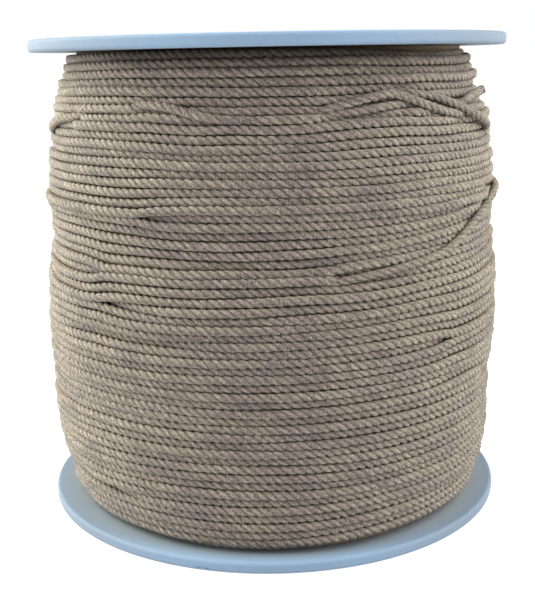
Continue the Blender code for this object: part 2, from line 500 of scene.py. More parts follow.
@dataclass(frozen=True)
class HempFinish:
    """Natural hemp fibre: matt, streaked along each strand, with painted shade between strands."""

    name: str
    fibre: tuple = (0.116, 0.098, 0.089, 1.0)
    pale_fibre: tuple = (0.179, 0.159, 0.144, 1.0)
    grey_fibre: tuple = (0.103, 0.093, 0.095, 1.0)
    # Painted highlight: the colour of pale specks that stand for glints
    painted_glint_colour: tuple = (0.330, 0.302, 0.272, 1.0)
    # Painted shade: the dark colour of the grooves between strands and turns, also used for the singed
    # cut
    groove_shade_and_singe: tuple = (0.042, 0.026, 0.013, 1.0)
    shadow: tuple = (0.240, 0.218, 0.206, 1.0)
    # Painted shade: the tint multiplied into each turn's hidden side
    painted_shelter_shade: tuple = (1.10, 0.92, 0.70, 1.0)
    fleck: tuple = (0.080, 0.040, 0.018, 1.0)
    yarns: Pattern = Pattern((320.0, 1300.0, 1300.0), 1.0, 0.36, 0.66, 0.6)
    fibres: Pattern = Pattern((1100.0, 2600.0, 2600.0), 1.0, 0.30, 0.70, 0.96)
    patches: Pattern = Pattern((75.0, 240.0, 240.0), 2.0, 0.25, 0.75, 0.16)
    weathering: Pattern = Pattern((42.0, 42.0, 85.0), 2.0, 0.42, 0.66, 0.6)
    specks: Pattern = Pattern((900.0, 1700.0, 1700.0), 0.0, 0.735, 0.775, 0.7)
    painted_glints: Pattern = Pattern((1000.0, 2100.0, 2100.0), 0.0, 0.65, 0.78, 0.5)
    least_pale: float = 0.2
    darkest_streak: float = 0.48
    groove_shade_strength: float = 0.76
    groove_power: float = 2.8
    groove_on_crest: float = 0.90
    groove_lost_aside: float = 0.25
    crest_edge: tuple = (0.20, 0.50)
    painted_shelter_shade_edge: tuple = (0.34, 0.58)
    yarn_relief: float = 0.6
    fibre_relief: float = 0.55
    bump_height: float = 0.00026
    bump_strength: float = 0.9
    roughest: float = 0.98
    smoother_by: float = 0.22
    shaded_heights: tuple = (0.2315, 0.2412)
    shaded_half_width: tuple = (0.050, 0.100)

    def material(self) -> bpy.types.Material:
        """The finish as a material that reads the fibre, groove shade and shelter attributes.

        The painted groove shade's share is groove^power times a strength that falls off the
        crest, and a painted shade darkens the rope at the front close under the upper flange.

        Returns:
            The material.
        """
        tree = ShaderTree(self.name)
        along = tree.attribute("fibre", "Vector")
        groove_shade_and_singe = tree.attribute("groove_shade_and_singe", "Fac")
        shelter = tree.attribute("shelter", "Fac")
        place = tree.place()
        yarns = tree.noise(along, self.yarns)
        fibres = tree.noise(along, self.fibres)
        colour = tree.mixed(self.yarns.factor(yarns) + self.least_pale, self.fibre, self.pale_fibre)
        colour = tree.mixed(tree.factor(place, self.weathering), colour, self.grey_fibre)
        streaks = self.fibres.factor(fibres) + tree.factor(along, self.patches) + self.darkest_streak
        streak_colour = tree.node("ShaderNodeCombineColor", {}, {0: streaks, 1: streaks, 2: streaks})
        colour = tree.mixed(1.0, colour, streak_colour, "MULTIPLY")
        # Painted shade: the groove colour darkens the valleys between strands and the gaps between turns
        strength = self.groove_on_crest - shelter.between(*self.crest_edge) * self.groove_lost_aside
        painted_valley_shade = groove_shade_and_singe ** self.groove_power * strength
        colour = tree.mixed(painted_valley_shade * self.groove_shade_strength, colour, self.groove_shade_and_singe)
        # Painted shade: the hidden side of each turn, in its neighbours' shade, is made darker and
        # warmer
        colour = tree.mixed(shelter.between(*self.painted_shelter_shade_edge), colour, self.painted_shelter_shade, "MULTIPLY")
        colour = tree.mixed(tree.factor(along, self.specks), colour, self.fleck)
        # Painted highlight: pale specks stand for glints of light on the fibres
        colour = tree.mixed(tree.factor(along, self.painted_glints), colour, self.painted_glint_colour)
        # Painted shade under the upper flange: the rope's middle, front and back, darkens close under
        # its edge
        aside = tree.part(place, "X").magnitude().between(*self.shaded_half_width)
        shade = tree.part(place, "Z").between(*self.shaded_heights) * (1.0 - aside)
        colour = tree.mixed(shade, colour, self.shadow, "MULTIPLY")
        height = yarns * self.yarn_relief + fibres * self.fibre_relief
        return tree.finish(
            Base_Color=colour,
            Roughness=self.roughest - fibres * self.smoother_by,
            Normal=tree.bump(height, self.bump_height, self.bump_strength),
            Specular_IOR_Level=0.10,
            Sheen_Weight=0.05,
            Sheen_Roughness=0.5,
        )


@dataclass(frozen=True)
class FibreFinish:
    """The loose fibres that stand out of the rope: paler and a little glossier."""

    name: str
    colour: tuple = (0.31, 0.28, 0.24, 1.0)
    dark_colour: tuple = (0.11, 0.08, 0.06, 1.0)
    tones: Pattern = Pattern((330.0, 330.0, 330.0), 1.0, 0.40, 0.62)
    roughest: float = 0.75
    smoother_by: float = 0.2

    def material(self) -> bpy.types.Material:
        """The finish as a material whose colour changes from fibre to fibre.

        Returns:
            The material.
        """
        tree = ShaderTree(self.name)
        tone = tree.noise(tree.place(), self.tones)
        colour = tree.mixed(self.tones.factor(tone), self.dark_colour, self.colour)
        roughness = self.roughest - tone * self.smoother_by
        return tree.finish(Base_Color=colour, Roughness=roughness, Specular_IOR_Level=0.3)


@dataclass(frozen=True)
class PlasticFinish:
    """Pale bluish-white moulded plastic, satin, with faint flow marks and scuffs."""

    name: str
    colour: tuple = (0.128, 0.147, 0.172, 1.0)
    milky: tuple = (0.152, 0.167, 0.189, 1.0)
    # The rim's blue: partly the plastic's denser edge, partly painted bluish light
    rim: tuple = (0.142, 0.204, 0.302, 1.0)
    # Painted shade: the rim's colour on its left and right sides
    shaded_rim_aside: tuple = (0.111, 0.142, 0.194, 1.0)
    aside: tuple = (0.030, 0.110)
    rim_radii: tuple = (0.1120, 0.1245)
    scuff: tuple = (0.050, 0.060, 0.085, 1.0)
    scuff_place: tuple = (-0.0350, -0.1199, 0.0012)
    scuff_stretch: tuple = (1.0, 1.0, 4.5)
    scuff_reach: float = 0.0052
    scuff_core: float = 0.35
    clouds: Pattern = Pattern((14.0, 14.0, 30.0), 3.0, 0.3, 0.7)
    grain: Pattern = Pattern((900.0, 900.0, 900.0), 2.0)
    dust: Pattern = Pattern((210.0, 210.0, 420.0), 3.0, 0.64, 0.80, 0.25)
    marks: Pattern = Pattern((520.0, 520.0, 900.0), 2.0, 0.50, 0.60, 0.85)
    scratches: Pattern = Pattern((60.0, 60.0, 2600.0), 2.0)
    grain_relief: float = 0.5
    scratch_relief: float = 0.3
    bump_height: float = 0.00004
    bump_strength: float = 0.35
    smoothest: float = 0.50
    rougher_by: float = 0.16

    def material(self) -> bpy.types.Material:
        """The finish as a material on object coordinates: the rim is bluer than the faces,
        partly the plastic's denser edge and partly painted bluish light, its left and right
        sides are darker with painted shade, and a small scuff lies on the lower rim.

        Returns:
            The material.
        """
        tree = ShaderTree(self.name)
        place = tree.place()
        dust = tree.noise(place, self.dust)
        colour = tree.mixed(tree.factor(place, self.clouds), self.colour, self.milky)
        from_axis = tree.length(tree.vector("MULTIPLY", place, (1.0, 1.0, 0.0)))
        # The rim: bluer, partly real and partly painted bluish light, with painted shade on its sides
        sideways = tree.part(place, "X").magnitude()
        rim = tree.mixed(sideways.between(*self.aside), self.rim, self.shaded_rim_aside)
        colour = tree.mixed(from_axis.between(*self.rim_radii), colour, rim)
        colour = tree.mixed(self.dust.factor(dust), colour, self.scuff)
        offset = tree.vector("SUBTRACT", place, self.scuff_place)
        distance = tree.length(tree.vector("MULTIPLY", offset, self.scuff_stretch))
        near = 1.0 - distance.between(self.scuff_core * self.scuff_reach, self.scuff_reach)
        colour = tree.mixed(near * tree.factor(place, self.marks), colour, self.scuff)
        grain = tree.noise(place, self.grain) * self.grain_relief
        height = grain + tree.noise(place, self.scratches) * self.scratch_relief
        return tree.finish(
            Base_Color=colour,
            Roughness=self.smoothest + dust * self.rougher_by,
            Normal=tree.bump(height, self.bump_height, self.bump_strength),
            Specular_IOR_Level=0.05,
            Subsurface_Weight=0.15,
            Subsurface_Radius=(0.6, 0.8, 1.0),
            Subsurface_Scale=0.003,
        )


@dataclass(frozen=True)
class FloorFinish:
    """A plain pale floor of milky sheet, lit a little from below."""

    name: str
    colour: tuple = (0.52, 0.52, 0.52, 1.0)
    glow: float = 0.45
    unevenness: Pattern = Pattern((3.0, 3.0, 3.0), 1.0)
    smoothest: float = 0.8
    rougher_by: float = 0.1

    def material(self) -> bpy.types.Material:
        """The finish as a material with a trace of unevenness.

        Returns:
            The material.
        """
        tree = ShaderTree(self.name)
        tone = tree.noise(tree.place(), self.unevenness)
        return tree.finish(
            Base_Color=self.colour,
            Roughness=self.smoothest + tone * self.rougher_by,
            Emission_Color=(1.0, 1.0, 1.0, 1.0),
            Emission_Strength=self.glow,
        )


# Meshes


def add_piece(
    name: str,
    points: np.ndarray,
    faces: Sequence[np.ndarray],
    material: bpy.types.Material,
    attributes: dict[str, np.ndarray] | None = None,
) -> bpy.types.Object:
    """Makes a mesh object from arrays of points and faces.

    Args:
        name: The object's name.
        points: One row of three coordinates for each vertex.
        faces: Arrays of faces, each with its own number of corners.
        material: The mesh's material.
        attributes: Values for each vertex, by name: three columns are a vector.

    Returns:
        The object, which lies at the origin and is shaded smooth.
    """
    mesh = bpy.data.meshes.new(name)
    corners = np.concatenate([face.reshape(-1) for face in faces]).astype(np.int32)
    sizes = np.concatenate([np.full(len(face), face.shape[1]) for face in faces])
    starts = np.concatenate([[0], np.cumsum(sizes)[:-1]]).astype(np.int32)
    mesh.vertices.add(len(points))
    mesh.vertices.foreach_set("co", points.astype(np.float32).reshape(-1))
    mesh.loops.add(len(corners))
    mesh.loops.foreach_set("vertex_index", corners)
    mesh.polygons.add(len(sizes))
    mesh.polygons.foreach_set("loop_start", starts)
    mesh.update(calc_edges=True)
    mesh.polygons.foreach_set("use_smooth", np.full(len(sizes), True))
    for key, values in (attributes or {}).items():
        is_vector = values.ndim == 2
        layer = mesh.attributes.new(key, "FLOAT_VECTOR" if is_vector else "FLOAT", "POINT")
        layer.data.foreach_set("vector" if is_vector else "value", values.astype(np.float32).reshape(-1))
    mesh.validate()
    mesh.materials.append(material)
    obj = bpy.data.objects.new(name, mesh)
    bpy.context.scene.collection.objects.link(obj)
    LOG.info("%s: %d faces", name, len(mesh.polygons))
    return obj


@dataclass
class RopeRun:
    """A stretch of rope as swept: its rings of points, and what the finish reads."""

    path: np.ndarray
    rings: np.ndarray
    fibre: np.ndarray
    groove_shade_and_singe: np.ndarray
    shelter: np.ndarray

    def normals(self) -> np.ndarray:
        """The surface's normal at each point: the step along the rope crossed with the
        step round it, turned outwards.

        Returns:
            A unit vector for each point of each ring.
        """
        along = np.gradient(self.rings, axis=0)
        around = np.roll(self.rings, -1, axis=1) - np.roll(self.rings, 1, axis=1)
        normal = unit(np.cross(along, around))
        away = self.rings - self.path[:, None, :]
        return normal * np.sign((normal * away).sum(axis=-1, keepdims=True))

    def piece(self, name: str, first: int, last: int, material: bpy.types.Material) -> bpy.types.Object:
        """The rings from first to last as one closed mesh object.

        Args:
            name: The object's name.
            first: The first ring.
            last: The last ring, which is included.
            material: The rope's material.

        Returns:
            The object.
        """
        rings = self.rings[first : last + 1]
        count, around = rings.shape[:2]
        walls = grid_faces(count, around, False, True)
        start_cap = np.arange(around)[::-1][None, :]
        end_cap = (np.arange(around) + (count - 1) * around)[None, :]
        attributes = {
            "fibre": self.fibre[first : last + 1].reshape(-1, 3),
            "groove_shade_and_singe": self.groove_shade_and_singe[first : last + 1].reshape(-1),
            "shelter": self.shelter[first : last + 1].reshape(-1),
        }
        faces = [walls, start_cap, end_cap]
        piece = add_piece(name, rings.reshape(-1, 3), faces, material, attributes)
        normals = self.normals()[first : last + 1].reshape(-1, 3)
        piece.data.normals_split_custom_set_from_vertices(normals)
        return piece


@dataclass(frozen=True)
class RopeForm:
    """The rope's own shape: three strands laid together, right-handed, which press each
    other flat where they meet.

    A ring's radius at a share t of the way from a strand's middle to its valley is
    R (1 - depth t^2.1). In a turn that lies under tension it is also
    1 + flattening sin^2(2w) times as long at w from the outward direction."""

    diameter: float = ROPE_DIAMETER
    lay: float = 0.0130
    strands: int = 3
    angles: tuple = (-60.0, -33.0, 0.0, 33.0)
    valley_depth: float = 0.28
    roundness: float = 2.1

    def section(self) -> tuple[np.ndarray, np.ndarray, np.ndarray]:
        """One ring of the rope.

        Returns:
            Each point's angle, its radius, and how deep it lies in a groove from 0 to 1.
        """
        spacing = TAU / self.strands
        offsets = np.radians(self.angles)
        depth = np.abs(offsets) / (spacing / 2.0)
        radius = self.diameter / 2.0 * (1.0 - self.valley_depth * depth**self.roundness)
        angle = (np.arange(self.strands)[:, None] * spacing + offsets[None, :]).reshape(-1)
        return angle, np.tile(radius, self.strands), np.tile(depth, self.strands)

    def swept(
        self,
        path: np.ndarray,
        outward: np.ndarray,
        swell: np.ndarray | None = None,
        phase: float | np.ndarray = 0.0,
        flattening: float = 0.0,
    ) -> RopeRun:
        """The rope carried along a path: its rings turn once in each lay length.

        A point lies at path + r (cos w N + sin w B), where N points outward, B is the
        tangent crossed with N, and w is the point's angle plus 2 pi (length / lay + phase).
        Its shelter, (1 - cos w) / 2, is 0 on the crest and 1 on the hidden side.

        Args:
            path: The rope's middle line, a row of points.
            outward: A direction away from the reel at each point.
            swell: How many times its radius each ring has, or None for 1.
            phase: How far the rings are turned besides, in turns.
            flattening: How much its neighbours press the rope square.

        Returns:
            The swept rope.
        """
        angle, radius, depth = self.section()
        steps = np.linalg.norm(np.diff(path, axis=0), axis=1)
        length = np.concatenate([[0.0], np.cumsum(steps)])
        tangent = unit(np.gradient(path, axis=0))
        side = unit(np.cross(tangent, outward))
        normal = np.cross(side, tangent)
        turned = angle[None, :] + (TAU * (length / self.lay + phase))[:, None]
        grown = np.ones(len(path)) if swell is None else swell
        reach = radius[None, :] * grown[:, None] * (1.0 + flattening * np.sin(2.0 * turned) ** 2)
        spokes = np.cos(turned)[..., None] * normal[:, None, :]
        spokes = spokes + np.sin(turned)[..., None] * side[:, None, :]
        rings = path[:, None, :] + reach[..., None] * spokes
        own = np.stack([radius * np.cos(angle), radius * np.sin(angle)], axis=-1)
        lengthwise = np.broadcast_to(length[:, None, None], (*reach.shape, 1))
        fibre = np.concatenate([lengthwise, np.broadcast_to(own, (*reach.shape, 2))], axis=-1)
        shelter = (1.0 - np.cos(turned)) / 2.0
        return RopeRun(path, rings, fibre, np.broadcast_to(depth, reach.shape), shelter)


@dataclass
class CrossingRuns:
    """The runs of rope that cross over the turns, each with its ends under the crests but
    for the last, which the loose end carries on.

    A run presses the turns under it between two rises, from not at all to fully, and
    touches them at a share of the rope's diameter. Lead is how far in radians before a
    run's start the turns are counted as lying under it."""

    rope: RopeForm
    step: float = 0.0015
    fewest_points: int = 8
    phase_step: float = 0.37
    lead: float = 0.1
    press_rises: tuple = (-0.0030, -0.0012)
    touch: float = 0.95
    runs: dict[str, tuple[Waypoint, ...]] = field(
        default_factory=lambda: {
            "shoulder_run": (
                Waypoint(-62.0, 0.2226, BURIED),
                Waypoint(-54.0, 0.2204, 0.0000),
                Waypoint(-46.5, 0.2182, 0.0011),
                Waypoint(-39.0, 0.2138, 0.0019),
                Waypoint(-31.5, 0.2082, 0.0019),
                Waypoint(-24.0, 0.2030, 0.0008),
                Waypoint(-16.0, 0.1985, BURIED),
            ),
            "hump_run": (
                Waypoint(-83.0, 0.2126, BURIED),
                Waypoint(-77.5, 0.2142, -0.0024),
                Waypoint(-73.0, 0.2162, -0.0010),
                Waypoint(-68.5, 0.2182, 0.0002),
                Waypoint(-64.5, 0.2198, 0.0008),
                Waypoint(-61.0, 0.2206, 0.0012),
                Waypoint(-57.5, 0.2194, 0.0014),
                Waypoint(-54.0, 0.2173, 0.0013),
                Waypoint(-50.5, 0.2150, 0.0010),
                Waypoint(-47.0, 0.2129, 0.0004),
                Waypoint(-43.5, 0.2113, -0.0004),
                Waypoint(-40.0, 0.2103, -0.0012),
                Waypoint(-36.5, 0.2097, -0.0024),
                Waypoint(-32.0, 0.2092, BURIED),
            ),
            "brow_run": (
                Waypoint(-81.0, 0.2112, BURIED),
                Waypoint(-75.5, 0.2124, -0.0032),
                Waypoint(-71.0, 0.2129, -0.0022),
                Waypoint(-67.0, 0.2138, -0.0017),
                Waypoint(-63.0, 0.2148, -0.0014),
                Waypoint(-59.0, 0.2156, -0.0017),
                Waypoint(-55.5, 0.2156, -0.0028),
                Waypoint(-50.0, 0.2150, BURIED),
            ),
            "dip_run": (
                Waypoint(-127.0, 0.2177, BURIED),
                Waypoint(-121.5, 0.2176, -0.0028),
                Waypoint(-117.5, 0.2172, -0.0014),
                Waypoint(-113.5, 0.2164, -0.0006),
                Waypoint(-110.0, 0.2150, -0.0002),
                Waypoint(-106.5, 0.2133, -0.0002),
                Waypoint(-103.0, 0.2119, -0.0006),
                Waypoint(-99.0, 0.2110, -0.0014),
                Waypoint(-94.5, 0.2107, -0.0026),
                Waypoint(-88.0, 0.2106, BURIED),
            ),
            "belly_run": (
                Waypoint(-84.0, 0.1366, BURIED),
                Waypoint(-76.0, 0.1384, -0.0028),
                Waypoint(-68.0, 0.1404, -0.0018),
                Waypoint(-60.0, 0.1424, -0.0012),
                Waypoint(-53.0, 0.1442, -0.0008),
                Waypoint(-46.5, 0.1468, -0.0004),
                Waypoint(-40.5, 0.1514, 0.0000),
                Waypoint(-34.5, 0.1570, 0.0002),
                Waypoint(-28.0, 0.1622, 0.0004),
                Waypoint(-21.0, 0.1676, 0.0005),
                Waypoint(-13.0, 0.1720, -0.0004),
                Waypoint(-5.0, 0.1750, BURIED),
            ),
            "left_run": (
                Waypoint(-184.0, 0.1985, BURIED),
                Waypoint(-175.0, 0.2008, -0.0024),
                Waypoint(-167.0, 0.2036, -0.0010),
                Waypoint(-160.0, 0.2068, -0.0004),
                Waypoint(-153.0, 0.2096, -0.0008),
                Waypoint(-145.0, 0.2114, -0.0024),
                Waypoint(-137.0, 0.2124, BURIED),
            ),
            "back_run": (
                Waypoint(62.0, 0.1180, BURIED),
                Waypoint(74.0, 0.1130, 0.0006),
                Waypoint(88.0, 0.1050, 0.0014),
                Waypoint(102.0, 0.0965, 0.0014),
                Waypoint(116.0, 0.0900, 0.0006),
                Waypoint(128.0, 0.0880, BURIED),
            ),
            "tail_root": (
                Waypoint(-51.0, 0.2075, -0.0045),
                Waypoint(-44.5, 0.2102, -0.0040),
                Waypoint(-39.0, 0.2132, -0.0022),
                Waypoint(-34.6, 0.2156, 0.0018),
                Waypoint(-34.0, 0.2158, 0.0018),
            ),
        }
    )

    def line(self, waypoints: Sequence[Waypoint], step: float) -> np.ndarray:
        """A run's middle line: the cubic through its waypoints, held half a rope inside
        the crest limit.

        Args:
            waypoints: The places that it passes through.
            step: About how far apart its points are.

        Returns:
            A row of azimuth, radius and height for each point.
        """
        turned = math.radians(abs(waypoints[-1].azimuth - waypoints[0].azimuth))
        count = max(self.fewest_points, round(turned * FLANGE_DIAMETER / 2.0 / step))
        places = np.linspace(0.0, len(waypoints) - 1.0, count)
        azimuth, height, rise = (cubic_through(column, places) for column in zip(*waypoints))
        azimuth = np.radians(azimuth)
        farthest = CREST_LIMIT - self.rope.diameter / 2.0
        radius = np.minimum(outline_radius(azimuth, height) + rise, farthest)
        return np.stack([azimuth, radius, height], axis=-1)

    def build(self, material: bpy.types.Material) -> list[bpy.types.Object]:
        """Sweeps the rope along each run.

        Args:
            material: The rope's material.

        Returns:
            One closed piece for each run.
        """
        pieces = []
        for number, (name, waypoints) in enumerate(self.runs.items()):
            path, outward = path_and_outward(*self.line(waypoints, self.step).T)
            run = self.rope.swept(path, outward, phase=self.phase_step * number)
            pieces.append(run.piece(name, 0, len(path) - 1, material))
        return pieces

    def press(self, azimuth: np.ndarray, radius: np.ndarray, height: np.ndarray) -> np.ndarray:
        """Pushes the turns inwards where a run lies across them, until they just touch.

        Under a run, a turn's middle is at most at the run's radius less
        sqrt(d^2 - distance^2), where d is touch times the rope's diameter and distance is
        measured across the run.

        Args:
            azimuth: The turns' azimuths, from 0 on up.
            radius: Their radii.
            height: Their heights.

        Returns:
            The new radii.
        """
        pressed = radius.copy()
        for waypoints in self.runs.values():
            run_azimuth, run_radius, run_height = self.line(waypoints, self.step).T
            wrapped = (azimuth - run_azimuth[0] + self.lead) % TAU + run_azimuth[0] - self.lead
            rise = run_radius - outline_radius(run_azimuth, run_height)
            slope = np.gradient(run_height) / (np.gradient(run_azimuth) * run_radius)
            over = np.interp(wrapped, run_azimuth, eased(rise, *self.press_rises), left=0.0, right=0.0)
            across = np.abs(height - np.interp(wrapped, run_azimuth, run_height))
            across = across * np.cos(np.arctan(np.interp(wrapped, run_azimuth, slope)))
            touch = self.touch * self.rope.diameter
            room = np.sqrt(np.maximum(touch**2 - across**2, 0.0))
            limit = np.interp(wrapped, run_azimuth, run_radius) - room
            under = (over > 0.0) & (across < touch) & (radius > limit)
            pressed = np.where(under, pressed + over * (np.minimum(pressed, limit) - pressed), pressed)
        return pressed


@dataclass
class Winding:
    """The outside of the bundle: one rope that climbs turn by turn to the upper flange.

    Each turn is pushed apart from its neighbours until they only touch, is drawn back to
    the bundle's outline, and is kept smooth along its length, as a rope under tension.
    Pitch and proud give a share of the rope's diameter at a height: from turn to turn, and
    how far the turns stand out and in by turns. Other lengths that have no unit are shares
    of that diameter too. Stiffness is the width of the bell curve that smooths the rope,
    in samples, and end_fade is how far from the flanges straying is full."""

    rope: RopeForm
    runs: CrossingRuns
    columns: int = 480
    echo_turns: int = 4
    bands: int = 5
    seed: int = 23
    rounds: int = 90
    unsmoothed_rounds: int = 12
    height_samples: int = 4001
    contact: float = 0.92
    flattening: float = 0.20
    widest_gap: float = 1.03
    least_rise: float = 0.2
    push_share: float = 0.4
    order_share: float = 0.2
    pull_share: float = 0.2
    return_share: float = 0.12
    stiffness: float = 1.25
    last_stiffness: float = 1.5
    inset: float = 0.62
    end_depth: float = 1.05
    end_fade: float = 0.025
    pitch: tuple = (
        (0.006, 0.95),
        (0.060, 0.95),
        (0.080, 0.98),
        (0.112, 0.98),
        (0.128, 0.90),
        (0.140, 0.84),
        (0.168, 0.86),
        (0.188, 0.94),
        (0.242, 0.96),
    )
    proud: tuple = (
        (0.006, 0.12),
        (0.060, 0.16),
        (0.150, 0.19),
        (0.188, 0.20),
        (0.202, 0.24),
        (0.235, 0.22),
        (0.242, 0.12),
    )
    spreads: tuple = (Waver(0.23, 24.0, 0.0), Waver(0.10, 9.0, 0.0))
    alternation: Waver = Waver(1.3, 20.0, -0.62)
    sinking: Waver = Waver(1.0, 30.0, -0.4)
    sink_edges: tuple = (1.25, 2.1)
    deepest_sink: float = 0.95
    swelling: Waver = Waver(0.022, 5.0, 0.0)
    twist_slip: Waver = Waver(0.08, 12.0, 0.0)
    straying: tuple = (
        Wave(0.26, 1, 55.0, 0.0),
        Wave(0.19, 2, -38.0, 1.1),
        Wave(0.13, 3, 110.0, 2.0),
        Wave(0.10, 5, -170.0, 0.4),
        Wave(0.06, 9, 240.0, 1.7),
    )
    drifts: tuple = (
        Drift(0.0045, (-75.0, -20.0, 30.0, 100.0), (0.104, 0.139, 0.142, 0.164)),
        Drift(-0.0034, (-124.0, -106.0, -98.0, -62.0), (0.188, 0.199, 0.206, 0.213)),
        Drift(0.0028, (-80.0, -63.0, -56.0, -36.0), (0.196, 0.207, 0.213, 0.218)),
        Drift(-0.0028, (-132.0, -116.0, -104.0, -60.0), (0.122, 0.131, 0.134, 0.141)),
        Drift(0.0026, (-120.0, -104.0, -92.0, -55.0), (0.156, 0.164, 0.166, 0.172)),
        Drift(0.0030, (-82.0, -62.0, -40.0, 10.0), (0.012, 0.020, 0.024, 0.036)),
    )

    def noise(self, random: np.random.Generator, count: int, waver: Waver) -> np.ndarray:
        """Smooth noise along the rope, in which each turn echoes the turns near it.

        It is the sum over p of echo^|p| times one smoothed noise, read p turns on.

        Args:
            random: The source of chance.
            count: How many samples.
            waver: The noise's size, smoothness and echo.

        Returns:
            The noise, whose standard deviation is the waver's size.
        """
        reach = self.echo_turns
        chance = random.standard_normal(count + 2 * reach * self.columns)
        base = gaussian_smoothed(chance, waver.width)
        total = np.zeros(count)
        for turn in range(-reach, reach + 1):
            start = (reach + turn) * self.columns
            total += waver.echo ** abs(turn) * base[start : start + count]
        return waver.size * (total / total.std())

    def settled(self) -> tuple[np.ndarray, np.ndarray, np.ndarray]:
        """Works out where the rope lies.

        Returns:
            The azimuth, radius and height of each point of its middle line.
        """
        thick = self.rope.diameter
        low = WINDING_BOTTOM + thick / 2.0
        high = WINDING_TOP - thick / 2.0
        levels = np.linspace(low, high, self.height_samples)
        pitch = np.interp(levels, *zip(*self.pitch)) * thick
        turned = np.concatenate([[0.0], np.cumsum(np.diff(levels) / pitch[1:])])
        turns = round(turned[-1]) + 1
        count = turns * self.columns + 1
        turn = np.arange(count) / self.columns
        azimuth = TAU * turn + math.pi / 2.0
        height = np.interp(np.clip((turn - 0.5) / (turns - 1), 0.0, 1.0) * turned[-1], turned, levels)
        random = np.random.default_rng(self.seed)
        free = np.clip(np.minimum(height - low, high - height) / self.end_fade, 0.0, 1.0)
        waves = sum(wave.at(azimuth, height) for wave in self.straying)
        spread = sum(self.noise(random, count, waver) for waver in self.spreads)
        drift = sum(drift.at(azimuth, height) for drift in self.drifts)
        height = height + thick * free * (waves + spread) + drift
        alternation = np.tanh(self.noise(random, count, self.alternation))
        lift = alternation * np.interp(height, *zip(*self.proud)) * thick
        sink = eased(self.noise(random, count, self.sinking), *self.sink_edges)
        lift = lift - self.deepest_sink * thick * free * sink
        ends = eased(np.minimum(turn, turns - turn), 0.0, 1.0)
        lift = lift * ends - (1.0 - ends) * self.end_depth * thick
        inset = self.inset * thick
        radius = outline_radius(azimuth, height) - inset + lift
        for number in range(self.rounds):
            radius, height = self.pushed_apart(radius, height)
            target = outline_radius(azimuth, height) - inset + lift
            radius = radius + self.return_share * (target - radius)
            if number < self.rounds - self.unsmoothed_rounds:
                radius = gaussian_smoothed(radius, self.stiffness)
                height = gaussian_smoothed(height, self.stiffness)
            radius = self.runs.press(azimuth, radius, height)
            height = np.clip(height, low, high)
        radius = np.minimum(gaussian_smoothed(radius, self.last_stiffness), CREST_LIMIT - thick / 2.0)
        return azimuth, radius, height

    def pushed_apart(self, radius: np.ndarray, height: np.ndarray) -> tuple[np.ndarray, np.ndarray]:
        """Moves turns that overlap apart, along the line between their middles, and
        turns with too wide a gap together. A turn stays above the one before it.

        Args:
            radius: The rope's radii.
            height: Its heights.

        Returns:
            The new radii and heights.
        """
        for step in (self.columns, 2 * self.columns):
            rise = height[step:] - height[:-step]
            least = self.least_rise * self.rope.diameter * step / self.columns
            order = self.order_share * np.maximum(least - rise, 0.0)
            rise = np.maximum(rise, least)
            out = radius[step:] - radius[:-step]
            apart = np.hypot(rise, out) + NEAR_ZERO
            push = self.push_share * np.maximum(self.contact * self.rope.diameter - apart, 0.0) / apart
            change_radius = np.zeros_like(radius)
            change_height = np.zeros_like(height)
            change_radius[:-step] -= out * push
            change_radius[step:] += out * push
            change_height[:-step] -= rise * push + order
            change_height[step:] += rise * push + order
            if step == self.columns:
                pull = self.pull_share * np.maximum(apart - self.widest_gap * self.rope.diameter, 0.0)
                change_height[:-step] += pull
                change_height[step:] -= pull
            radius = radius + change_radius
            height = height + change_height
        return radius, height

    def build(self, material: bpy.types.Material) -> tuple[list[bpy.types.Object], RopeRun]:
        """Sweeps the rope along its whole line, and cuts it into bands of turns.

        Args:
            material: The rope's material.

        Returns:
            The bands from the lowest to the highest, and the whole swept rope.
        """
        path, outward = path_and_outward(*self.settled())
        random = np.random.default_rng(self.seed + 1)
        swell = 1.0 + self.noise(random, len(path), self.swelling)
        slip = self.noise(random, len(path), self.twist_slip)
        run = self.rope.swept(path, outward, swell, slip, self.flattening)
        cuts = np.linspace(0, len(path) - 1, self.bands + 1).round().astype(int)
        pieces = [
            run.piece(f"rope_band_{number + 1}", cuts[number], cuts[number + 1], material)
            for number in range(self.bands)
        ]
        LOG.info("rope on the outside of the bundle: %.1f m", run.fibre[-1, 0, 0])
        return pieces, run


